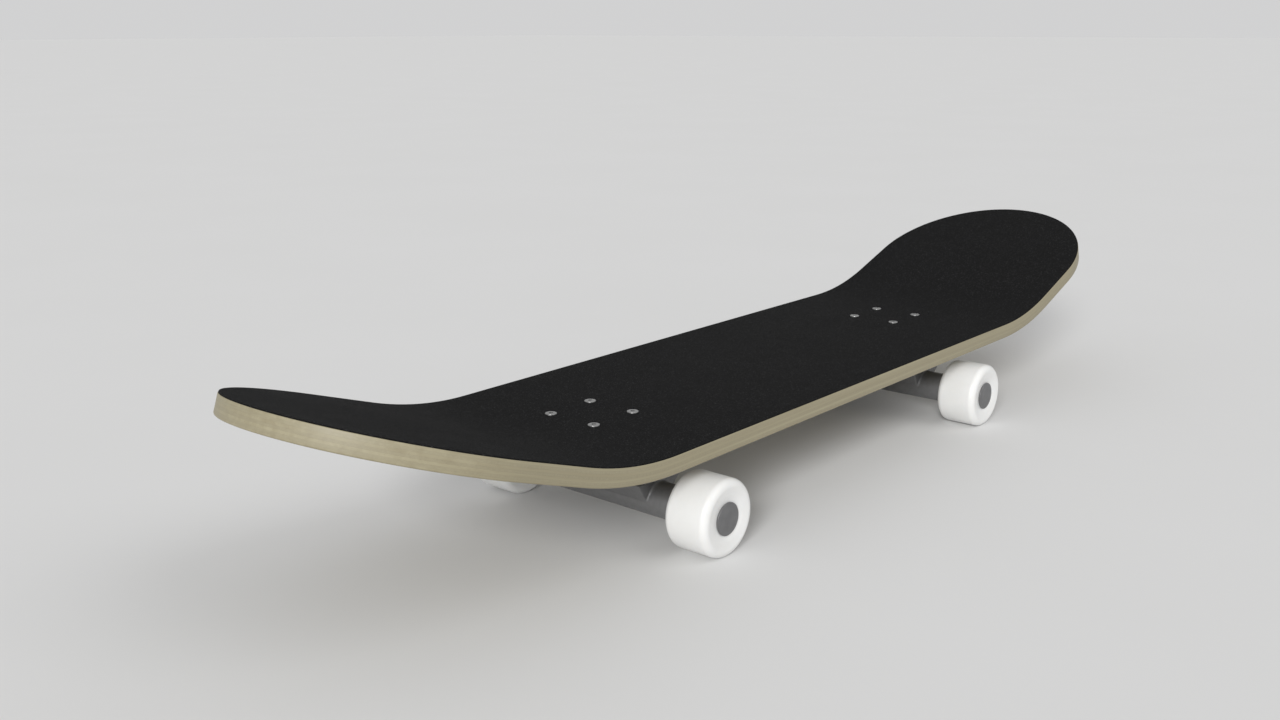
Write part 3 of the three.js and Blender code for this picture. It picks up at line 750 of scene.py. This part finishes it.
def build_bolt(node):
    """A low round head on a countersunk cone, with a hexagon socket, and a threaded end."""
    centre = middle(node)
    seat = Vector((centre.x, centre.y, DECK_TOP - HEAD_SINK))
    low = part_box(node)[0].z - seat.z
    top = HEAD_SIDE + HEAD_DOME
    face = steps(0, HEAD_RADIUS - 0.0003, 0.0006)
    crown = [(r, top - HEAD_DOME * (r / HEAD_RADIUS) ** 2) for r in face]
    edge = rounded([crown[-1], (HEAD_RADIUS, HEAD_SIDE, HEAD_EDGE), (HEAD_RADIUS, 0)], 4)[1:-1]
    thread_top = low + BOLT_THREAD
    turns = [(SHANK_RADIUS, h) for h in reversed(steps(low + BOLT_PITCH, thread_top, 0.00012))]
    profile = crown + edge + [(HEAD_RADIUS, 0), (SHANK_RADIUS, -CONE_DEPTH)] + turns
    profile += [(SHANK_RADIUS - BOLT_POINT, low), (0, low)]
    shape = thread(SHANK_RADIUS, BOLT_THREAD_DEPTH, BOLT_PITCH, low + BOLT_POINT, thread_top)
    bolt = turned(f"bolt_{node}", profile, seat, UP, 40, shape)
    cut(bolt, rod("socket", SOCKET_RADIUS, top - SOCKET_DEPTH, top + HEAD_RADIUS, seat, UP, 6))
    smooth(paint(bolt, ZINC), 40)
    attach(bolt, "board")
    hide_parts(node)


def build_lock_nut(node):
    """A chamfered hexagon with a round collar that holds a nylon ring."""
    centre = middle(node)
    origin = Vector((centre.x, centre.y, 0))
    low, high, radius = span(node, origin, UP)
    hex_low = high - NUT_HEIGHT
    bevel = NUT_CHAMFER * 0.6
    bore = SHANK_RADIUS + 0.00015
    profile = rounded([
        (bore, high), (radius - NUT_CHAMFER, high), (radius, high - bevel),
        (radius, hex_low + bevel), (radius - NUT_CHAMFER, hex_low),
        (COLLAR_RADIUS, hex_low), (COLLAR_RADIUS, low, COLLAR_LIP), (COLLAR_OPENING, low, COLLAR_LIP / 2),
        (COLLAR_OPENING, low + COLLAR_LIP), (bore, low + COLLAR_LIP),
    ], 3)
    steel = paint(turned("nut", profile, origin, UP, 72, hexagon(radius)), ZINC)
    insert = ring("insert", bore, 0.0031, low + 0.00025, low + 0.0007, origin, UP, 0.0001, 36)
    nut = joined(f"nut_{node}", [steel, paint(insert, NYLON)])
    smooth(nut, 30)
    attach(nut, "board")
    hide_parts(node)


def build_bolts(end):
    for i in range(1, 5):
        build_bolt(f"{end}_deck_bolt_{i}")
        build_lock_nut(f"{end}_lock_nut_{i}")


# ---------------------------------------- baseplate

def plate_outline(low, high, corner):
    """A rectangle with rounded corners, in X and Y."""
    points = []
    sides = 8
    quarter = math.pi / 2
    centres = [(high[0], high[1]), (low[0], high[1]), (low[0], low[1]), (high[0], low[1])]
    for number, (x, y) in enumerate(centres):
        cx = x - math.copysign(corner, x - (low[0] + high[0]) / 2)
        cy = y - math.copysign(corner, y)
        for angle in steps(number * quarter, (number + 1) * quarter, quarter / sides):
            points.append((cx + corner * math.cos(angle), cy + corner * math.sin(angle)))
    return points


def build_baseplate(truck):
    """One casting: a bolted plate, a boss for the kingpin, a housing for the pivot cup and two ribs."""
    end = truck.end
    ring_at = truck.local(truck.ring)
    down = truck.local_direction(truck.kingpin)
    steer = truck.local_direction(truck.steer)
    low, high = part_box(f"{end}_baseplate")
    corners = [truck.local(low), truck.local(high)]
    x0, x1 = sorted(c.x for c in corners)
    half_width = high.y
    top = high.z - DECK_BOTTOM
    mouth = span(f"{end}_board_side_washer", truck.ring, truck.kingpin)[0] - GAP
    kingpin_low = span(f"{end}_kingpin", truck.ring, truck.kingpin)[0]
    plate = slab("plate", plate_outline((x0, -half_width), (x1, half_width), PLATE_CORNER),
                 top - PLATE_THICKNESS, top + 0.002)
    boss = turned("boss", [(0, mouth - BOSS_DEPTH), (BOSS_RADIUS + FOOT_SPREAD, mouth - BOSS_DEPTH),
                           (BOSS_RADIUS, mouth), (0, mouth)], ring_at, down, 64)
    housing = rod("housing", HOUSING_RADIUS, HOUSING_START, HOUSING_END, PIVOT, steer)
    ribs = []
    for y in (-RIB_PLACE, RIB_PLACE):
        ribs.append(box("rib", (RIB_FROM, y - RIB_HALF, RIB_LOW), (RIB_TO, y + RIB_HALF, top - 0.003)))
    body = cast(f"{end}_plate_casting", [plate, boss, housing, *ribs], voxel=0.0006, iterations=10)
    cutters = [
        box("above", (-0.1, -0.1, top), (0.1, 0.1, 0.05)),
        rod("bore", KINGPIN_HOLE, -0.04, 0, ring_at, down, 48),
        rod("pocket", HEAD_POCKET_RADIUS, -0.05, kingpin_low + HEAD_POCKET_DEPTH, ring_at, down, 6),
        rod("cup_pocket", CUP_POCKET_RADIUS, -THROUGH, CUP_POCKET_END, PIVOT, steer, 64),
        rod("mouth", BOSS_RADIUS + 0.004, mouth, mouth + 0.01, ring_at, down, 64),
    ]
    spot_face = top - PLATE_THICKNESS + 0.0001
    for i in range(1, 5):
        centre = truck.local(middle(f"{end}_deck_bolt_{i}"))
        place = (centre.x, centre.y, 0)
        cutters.append(rod("bolt_hole", BOLT_HOLE_RADIUS, -THROUGH, 0.01, place, UP, 32))
        cutters.append(rod("spot_face", SPOT_FACE_RADIUS, -THROUGH, spot_face, place, UP, 48))
    cut(body, *cutters)
    moved(body, truck.matrix)
    smooth(paint(body, CAST_METAL), 40)
    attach(body, "board")
    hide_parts(f"{end}_baseplate")


def build_pivot_cup(truck):
    """A moulded cup with a rounded mouth and a ball-shaped hollow."""
    end = truck.end
    pivot = truck.matrix @ PIVOT
    low, high, radius = span(f"{end}_pivot_cup", pivot, truck.steer)
    outside = rounded([(0, high), (radius, high, 0.001), (radius, low, 0.0006), (CUP_BORE, low, 0.0004)])
    cup = turned(f"{end}_cup", outside + quarter_round(CUP_BORE), pivot, truck.steer, 64)
    paint(cup, PLASTIC)
    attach(cup, "board")
    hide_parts(f"{end}_pivot_cup")


# ---------------------------------------- kingpin stack

def build_kingpin(truck):
    """A bolt with a hexagonal head in the baseplate, threaded at the nut's end."""
    end = truck.end
    low, high, _ = span(f"{end}_kingpin", truck.ring, truck.kingpin)
    nut_low = span(f"{end}_kingpin_nut", truck.ring, truck.kingpin)[0]
    crest = KINGPIN_CREST
    thread_low = nut_low - 0.003
    turns = [(crest, h) for h in steps(thread_low, high - KINGPIN_POINT, 0.00018)]
    head = low + KINGPIN_HEAD_HEIGHT
    corner = KINGPIN_HEAD_RADIUS
    profile = [(0, low), (corner - 0.0007, low), (corner, low + 0.0006), (corner, head), (crest, head)]
    profile += turns + [(crest - KINGPIN_POINT, high), (0, high)]
    screw = thread(crest, KINGPIN_THREAD_DEPTH, KINGPIN_PITCH, thread_low, high)
    flats = hexagon(corner)

    def shape(angle, radius, height):
        on_shank = height > head + 1e-6 or radius <= crest
        return screw(angle, radius, height) if on_shank else flats(angle, radius, height)

    pin = turned(f"{end}_kingpin_bolt", profile, truck.ring, truck.kingpin, 60, shape)
    smooth(paint(pin, BLACK_OXIDE), 40)
    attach(pin, "board")
    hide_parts(f"{end}_kingpin")


def build_kingpin_nut(truck):
    """A chamfered hexagon with a low round collar that holds a nylon ring."""
    end = truck.end
    low, high, radius = span(f"{end}_kingpin_nut", truck.ring, truck.kingpin)
    chamfer = KINGPIN_NUT_CHAMFER
    shoulder = high - 0.0008
    collar, opening = 0.0066, 0.0056
    floor = high - 0.0005
    profile = rounded([
        (KINGPIN_NUT_BORE, low), (radius - chamfer, low), (radius, low + chamfer * 0.6),
        (radius, high - 0.0014), (radius - chamfer, shoulder),
        (collar, shoulder), (collar, high, 0.0004), (opening, high, 0.0003),
        (opening, floor), (KINGPIN_NUT_BORE, floor),
    ], 3)
    steel = paint(turned("nut", profile, truck.ring, truck.kingpin, 96, hexagon(radius)), ZINC)
    insert = ring("insert", KINGPIN_NUT_BORE, opening - 0.0001, shoulder, high - 0.0002,
                  truck.ring, truck.kingpin, 0.0001, 48)
    nut = joined(f"{end}_kingpin_lock_nut", [steel, paint(insert, NYLON)])
    smooth(nut, 30)
    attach(nut, "board")
    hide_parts(f"{end}_kingpin_nut")


def build_washers(truck):
    """Thick round washers with rolled edges, at the outer ends of the two bushings."""
    end = truck.end
    for side in ("board", "road"):
        node = f"{end}_{side}_side_washer"
        low, high, radius = span(node, truck.ring, truck.kingpin)
        profile = rounded([
            (WASHER_BORE, low, 0.0002), (radius, low, 0.0005),
            (radius, high, 0.0005), (WASHER_BORE, high, 0.0002),
        ], 4)
        washer = turned(f"{end}_{side}_washer", profile, truck.ring, truck.kingpin, 72)
        smooth(paint(washer, ZINC), 40)
        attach(washer, "board")
        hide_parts(node)


def build_bushings(truck):
    """A barrel on the board's side of the ring and a cone on the road's."""
    end = truck.end
    bore = KINGPIN_HOLE
    for side in ("board", "road"):
        node = f"{end}_{side}_side_bushing"
        low, high, radius = span(node, truck.ring, truck.kingpin)
        if side == "board":
            outer = [(radius - 0.0012, low + 0.0002, 0.0008), (radius, low + 0.003, 0.002),
                     (radius, high - 0.003, 0.002), (radius - 0.0012, high, 0.0008)]
        else:
            outer = [(radius - 0.0008, low, 0.0008), (radius, low + 0.0014, 0.001),
                     (radius - 0.0027, high - 0.0002, 0.0008)]
        rows = []
        profile = rounded([(bore, low), *outer, (bore, high)], 6)
        for first, second in zip(profile, profile[1:] + profile[:1]):
            rows += [tuple(Vector(first).lerp(Vector(second), t)) for t in (0, 0.25, 0.5, 0.75)]
        bushing = turned(f"{end}_{side}_bushing", rows, truck.ring, truck.kingpin, 72)
        smooth(paint(bushing, BUSHING), 40)
        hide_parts(node)
        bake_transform(bushing)


# ---------------------------------------- hanger

def flared_block(axle, wall, end_wall, height):
    """A block that stands at the axle's height, with walls that lean outwards."""
    corners = []
    for z in (0, height):
        x = BODY_FOOT - wall + BODY_FLARE * z
        y = BODY_HALF - end_wall + BODY_END_FLARE * z
        corners += [axle + Vector(place) for place in ((-x, -y, z), (x, -y, z), (x, y, z), (-x, y, z))]
    sides = [(i, (i + 1) % 4, 4 + (i + 1) % 4, 4 + i) for i in range(4)]
    return cleaned(made("block", corners, [(3, 2, 1, 0), (4, 5, 6, 7), *sides]))


def hanger_body(axle):
    """The cast body on the beam, hollow from above."""
    body = flared_block(axle, 0, 0, BODY_TOP)
    return cut(body, flared_block(axle, BODY_WALL, BODY_END_WALL, 2 * BODY_TOP))


def yoke_plate(axle, ring_at):
    """The web from the beam to the bushing ring."""
    reach = math.hypot(ring_at.x - axle.x, ring_at.z - axle.z)
    slope = math.atan2(ring_at.z - axle.z, ring_at.x - axle.x)
    half = [(0, YOKE_HALF), (BEAM_RADIUS, YOKE_HALF), (reach, RING_RADIUS - 0.001)]
    outline = [(x, -y) for x, y in half] + [(x, y) for x, y in reversed(half)]
    plate = slab("yoke", outline, -YOKE_THICKNESS / 2, YOKE_THICKNESS / 2)
    return moved(plate, Matrix.Translation(axle) @ Matrix.Rotation(-slope, 4, "Y"))


def pivot_arm(axle, steer):
    """The arm that rises from the beam, with a knuckle where the pivot pin leaves it."""
    elbow = PIVOT - steer * PIN_LENGTH
    foot = axle - elbow
    sides = [(0, 0), (ARM_RADIUS, 0), (ARM_RADIUS + FOOT_SPREAD, foot.length), (0, foot.length)]
    arm = turned("arm", sides, elbow, foot.normalized(), 64)
    half_turn = steps(0, math.pi, math.pi / 16)
    knuckle = [(ARM_RADIUS * math.sin(a), -ARM_RADIUS * math.cos(a)) for a in half_turn]
    knuckle[0] = (0, -ARM_RADIUS)
    knuckle[-1] = (0, ARM_RADIUS)
    return arm, turned("knuckle", knuckle, elbow, UP, 48)


def pivot_pin(steer):
    """A round pin with a ball end, which turns in the pivot cup."""
    profile = [(0, -PIN_LENGTH), (PIN_RADIUS, -PIN_LENGTH), *quarter_round(PIN_RADIUS)]
    return turned("pin", profile, PIVOT, steer, 64)


def hanger_cutters(axle, ring_at, down):
    """The bushing's well and seat, the kingpin's hole, the axle's bore and the flat ends of the beam."""
    far = THROUGH
    spool = [(0, -far), (WELL_RADIUS, -far), (WELL_RADIUS, -RING_HALF), (RING_HOLE, -RING_HALF),
             (RING_HOLE, RING_HALF), (SEAT_RADIUS, RING_HALF), (SEAT_RADIUS, far), (0, far)]
    ends = []
    for y in (BEAM_HALF, -BEAM_HALF - 0.02):
        ends.append(box("beam_end", (-0.05, y, -0.08), (0.06, y + 0.02, 0)))
    axle_bore = rod("axle_bore", AXLE_BORE, -0.1, 0.1, axle, LEFT, 48)
    return [turned("spool", spool, ring_at, down, 96), *ends, axle_bore]


def build_hanger(truck):
    """One casting: the round beam, its hollow body, the bushing ring on its yoke, and the pivot pin."""
    end = truck.end
    axle = truck.local(truck.axle)
    ring_at = truck.local(truck.ring)
    down = truck.local_direction(truck.kingpin)
    steer = truck.local_direction(truck.steer)
    beam = rod("beam", BEAM_RADIUS + 0.00015, -BEAM_HALF - 0.003, BEAM_HALF + 0.003, axle, LEFT, 96)
    ring_body = rod("ring", RING_RADIUS, -RING_HALF, RING_HALF, ring_at, down, 96)
    parts = [hanger_body(axle), beam, yoke_plate(axle, ring_at), ring_body, *pivot_arm(axle, steer)]
    body = cast(f"{end}_hanger_casting", parts, voxel=0.0007, iterations=6)
    cut(body, *hanger_cutters(axle, ring_at, down))
    cut(body, pivot_pin(steer), operation="UNION")
    moved(body, truck.matrix)
    smooth(paint(body, CAST_METAL), 40)
    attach(body, truck.body)
    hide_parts(f"{end}_hanger")


# ---------------------------------------- wheels

def build_wheel(truck, side):
    """A wide tyre with rounded edges and a shallow cone on its outer face, with its bearings and axle end."""
    name = f"{truck.end}_{side}"
    out = LEFT if side == "left" else -LEFT
    axle = truck.axle
    inner, outer, _ = span(f"{name}_wheel", axle, out)
    low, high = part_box(f"{name}_wheel")
    radius = (high.z - low.z) / 2
    bearing_in = span(f"{name}_inner_bearing", axle, out)
    bearing_out = span(f"{name}_outer_bearing", axle, out)
    seat = bearing_in[2] + 0.00005
    crest = radius - WHEEL_EDGE - 0.0004
    half_way = (seat + crest) / 2
    profile = rounded([
        (seat, inner + INNER_DISH, 0.0004), (radius, inner, WHEEL_EDGE), (radius, outer, WHEEL_EDGE),
        (crest, outer, 0.004), (half_way, outer - 0.38 * OUTER_DISH, 0.004),
        (seat, outer - OUTER_DISH, 0.0002),
        (seat, bearing_out[0]), (HUB_BORE_RADIUS, bearing_out[0]),
        (HUB_BORE_RADIUS, bearing_in[1]), (seat, bearing_in[1]),
    ], 10)
    wheel = turned(f"{name}_tyre", profile, axle, out, 128)
    smooth(paint(wheel, URETHANE), 30)
    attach(wheel, f"{name}_wheel")
    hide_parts(f"{name}_wheel")
    for place, (low_face, high_face, _) in (("inner", bearing_in), ("outer", bearing_out)):
        build_bearing(name, place, axle, out, low_face, high_face, seat - 0.00005)
    build_axle_end(truck, name, out, bearing_in[0], bearing_out[1])


def build_bearing(name, place, axle, out, low, high, radius):
    """Outer race and shields, which turn with the wheel; the inner race is clamped on the axle."""
    race = ring("race", radius - RACE_WALL, radius, low, high, axle, out, 0.0003, 72)
    shields = []
    for height in (low + SHIELD_SINK, high - SHIELD_SINK):
        shields.append(ring("shield", INNER_RACE_RADIUS + 0.0002, radius - RACE_WALL + 0.0002,
                            height - SHIELD_HALF, height + SHIELD_HALF, axle, out, 0.0001, 72))
    bearing = joined(f"{name}_{place}_race", [race, *shields])
    smooth(paint(bearing, BEARING_METAL), 40)
    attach(bearing, f"{name}_wheel")
    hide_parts(f"{name}_{place}_bearing")
    inner = ring(f"{name}_{place}_inner_race", AXLE_BORE, INNER_RACE_RADIUS, low, high, axle, out, 0.0002, 72)
    smooth(paint(inner, BEARING_METAL), 40)
    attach(inner, name.split("_")[0] + "_truck")


def build_speed_washer(name, truck, out, low, high, rounding):
    washer = ring(name, AXLE_BORE, SPEED_WASHER_RADIUS, low, high, truck.axle, out, rounding, 64)
    smooth(paint(washer, ZINC), 40)
    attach(washer, truck.body)


def build_axle_end(truck, name, out, inner_face, outer_face):
    """The round cap nut, and a speed washer on each side of the wheel's bearings."""
    build_speed_washer(f"{name}_inner_speed_washer", truck, out,
                       BEAM_HALF + 0.0001, inner_face - 0.0001, 0.0002)
    cap_node = f"{name}_axle_cap_nut"
    low, high, radius = span(cap_node, truck.axle, out)
    rim = high - CAP_BEVEL
    blind = AXLE_HALF + GAP
    profile = rounded([
        (0, blind), (CAP_BORE, blind), (CAP_BORE, low), (CAP_NECK, low, 0.0003), (CAP_NECK, rim - CAP_SIDE),
        (radius, rim - CAP_SIDE, 0.0002), (radius, rim, CAP_ROUND), (CAP_FLAT_RADIUS, high, 0.001), (0, high),
    ], 6)
    cap = turned(f"{name}_cap", profile, truck.axle, out, 96)
    smooth(paint(cap, CAP_METAL), 40)
    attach(cap, truck.body)
    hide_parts(cap_node)
    build_speed_washer(f"{name}_outer_speed_washer", truck, out,
                       outer_face + 0.00002, low - 0.00002, 0.0001)


def paint_kept_nodes():
    """The hidden shafts keep their CAD shape and take a better finish."""
    for end in ENDS:
        paint(frame["nodes"][f"{end}_axle"], ZINC)
        smooth(frame["nodes"][f"{end}_axle"])
        for side in SIDES:
            spacer = frame["nodes"][f"{end}_{side}_bearing_spacer"]
            smooth(paint(spacer, ZINC))


# ---------------------------------------- studio

ROOM_LIGHT = 0.5                 # what the room gives the board
ROOM_SEEN = 0.66                 # how bright it looks behind the floor
CAMERA_PLACE = (-0.84686, -0.58736, 0.34926)
CAMERA_LENS = 35.69              # millimetres, on a sensor 36 mm wide
CAMERA_YAW = math.radians(40.508)
CAMERA_PITCH = math.radians(-14.72)
CAMERA_ROLL = math.radians(-0.112)


def build_floor():
    """A plain pale floor, wide enough to reach the horizon."""
    finish = Finish("studio_floor", roughness=0.85)
    clouds = finish.noise(finish.place(), 3, 4)
    dimmer, paler = tone(0.73, 0.73, 0.725), tone(0.74, 0.74, 0.737)
    finish.colour(finish.mixed(finish.between(clouds, 0.3, 0.7), dimmer, paler))
    size = 40
    corners = [(-size, -size, 0), (size, -size, 0), (size, size, 0), (-size, size, 0)]
    floor = made("floor", corners, [(0, 1, 2, 3)])
    paint(floor, finish.material)


def build_sun(name, towards, strength, softness):
    """An even, soft light that shines from the direction given."""
    light = bpy.data.lights.new(name, "SUN")
    light.energy = strength
    light.angle = math.radians(softness)
    lamp = bpy.data.objects.new(name, light)
    bpy.context.scene.collection.objects.link(lamp)
    lamp.location = Vector(towards) * 3
    lamp.rotation_mode = "QUATERNION"
    lamp.rotation_quaternion = (-Vector(towards)).to_track_quat("-Z", "Y")


def build_studio():
    """A pale room, a soft key from beside the camera and a weak fill from the other side."""
    world = bpy.data.worlds.new("studio")
    world.use_nodes = True
    tree = world.node_tree
    background = tree.nodes["Background"]
    background.inputs["Color"].default_value = tone(0.97, 0.97, 0.975)
    seen = tree.nodes.new("ShaderNodeLightPath")
    strength = tree.nodes.new("ShaderNodeMapRange")
    strength.inputs["To Min"].default_value = ROOM_LIGHT
    strength.inputs["To Max"].default_value = ROOM_SEEN
    tree.links.new(seen.outputs["Is Camera Ray"], strength.inputs["Value"])
    tree.links.new(strength.outputs["Result"], background.inputs["Strength"])
    bpy.context.scene.world = world
    build_sun("key", (-0.85, -0.40, 0.42), 2.3, 18)
    build_sun("fill", (0.2, -0.7, 0.7), 0.5, 40)
    bpy.context.scene.view_settings.view_transform = "Standard"


def build_camera():
    """The camera stands low off the tail's right side and looks along the board."""
    data = bpy.data.cameras.new("camera")
    data.sensor_width = 36
    data.lens = CAMERA_LENS
    data.clip_start = 0.01
    camera = bpy.data.objects.new("camera", data)
    bpy.context.scene.collection.objects.link(camera)
    yaw, pitch, roll = CAMERA_YAW, CAMERA_PITCH, CAMERA_ROLL
    ahead = Vector((math.cos(pitch) * math.cos(yaw), math.cos(pitch) * math.sin(yaw), math.sin(pitch)))
    right = Vector((math.sin(yaw), -math.cos(yaw), 0))
    above = right.cross(ahead)
    tilted_right = math.cos(roll) * right + math.sin(roll) * above
    tilted_above = tilted_right.cross(ahead)
    turn = Matrix((tilted_right, tilted_above, -ahead)).transposed()
    camera.matrix_world = Matrix.Translation(CAMERA_PLACE) @ turn.to_4x4()
    bpy.context.scene.camera = camera


# ---------------------------------------- build

build_camera()
build_studio()
build_floor()
build_deck()
build_grip()
for truck in [Truck(end) for end in ENDS]:
    build_bolts(truck.end)
    build_baseplate(truck)
    build_pivot_cup(truck)
    build_kingpin(truck)
    build_kingpin_nut(truck)
    build_washers(truck)
    build_bushings(truck)
    build_hanger(truck)
    for side in SIDES:
        build_wheel(truck, side)
paint_kept_nodes()
